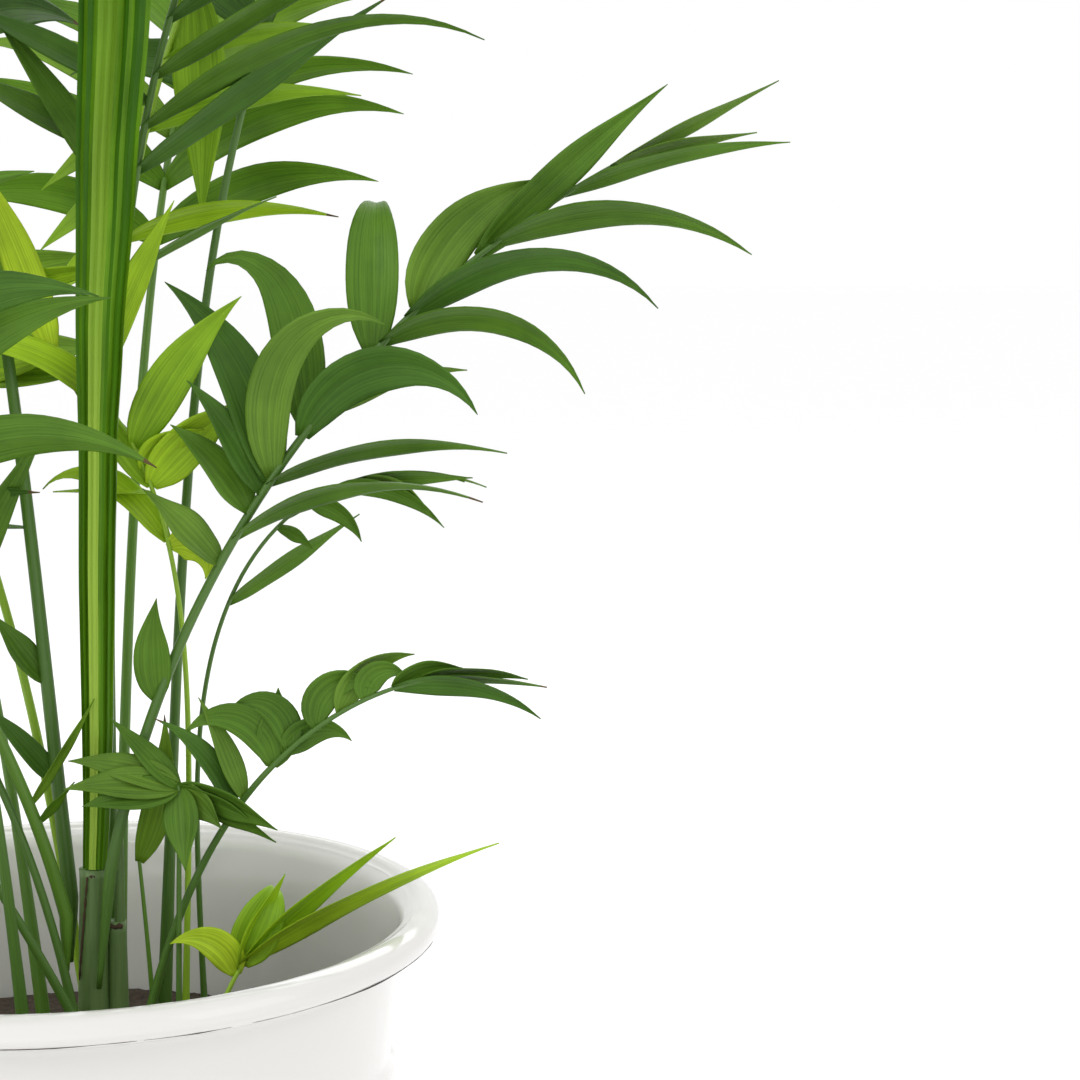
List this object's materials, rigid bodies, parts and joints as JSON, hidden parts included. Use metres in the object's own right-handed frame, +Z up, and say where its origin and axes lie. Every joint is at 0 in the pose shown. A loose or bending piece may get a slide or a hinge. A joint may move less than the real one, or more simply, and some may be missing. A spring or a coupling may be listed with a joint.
{
  "type": "potted parlour palm",
  "caption": "Young feather-leaved palm with a folded striped spear and arching fronds, growing from soil in a round glazed pot with a rolled lip.",
  "frame": {"origin": "centre of the pot's flat underside", "axes": "+Z up along the pot's axis, +Y away from the picture's viewer, +X to the viewer's right"},
  "size_m": [0.5976, 0.6542, 0.748],
  "materials": {
    "glaze": "glossy white glaze",
    "soil": "dark crumbly potting soil",
    "cane": "satin grey-green stem",
    "spear": "striped light and dark green, satin",
    "leaf_dark": "deep green leaf, satin",
    "leaf_mid": "mid green leaf, satin",
    "leaf_bright": "yellow-green young leaf, satin"
  },
  "bodies": {
    "root": {"pot": "glaze", "soil": "soil", "canes": "cane", "spear": "spear", "frond_right": "leaf_dark", "frond_bright": "leaf_bright", "frond_upper": "leaf_dark", "frond_pale": "leaf_bright", "frond_small": "leaf_dark", "seedling_right": "leaf_dark", "seedling_palmate": "leaf_dark", "seedling_bright": "leaf_bright", "seedling_single": "leaf_mid", "frond_left_high": "leaf_dark", "frond_left_back": "leaf_bright", "frond_left_low": "leaf_dark", "frond_left_mid": "leaf_dark", "frond_left_front": "leaf_mid", "seedling_left": "leaf_dark", "crown_back": "leaf_mid", "crown_back_right": "leaf_dark", "crown_back_left": "leaf_mid", "crown_left": "leaf_bright", "crown_front": "leaf_dark", "crown_front_left": "leaf_mid"}
  },
  "joints": []
}
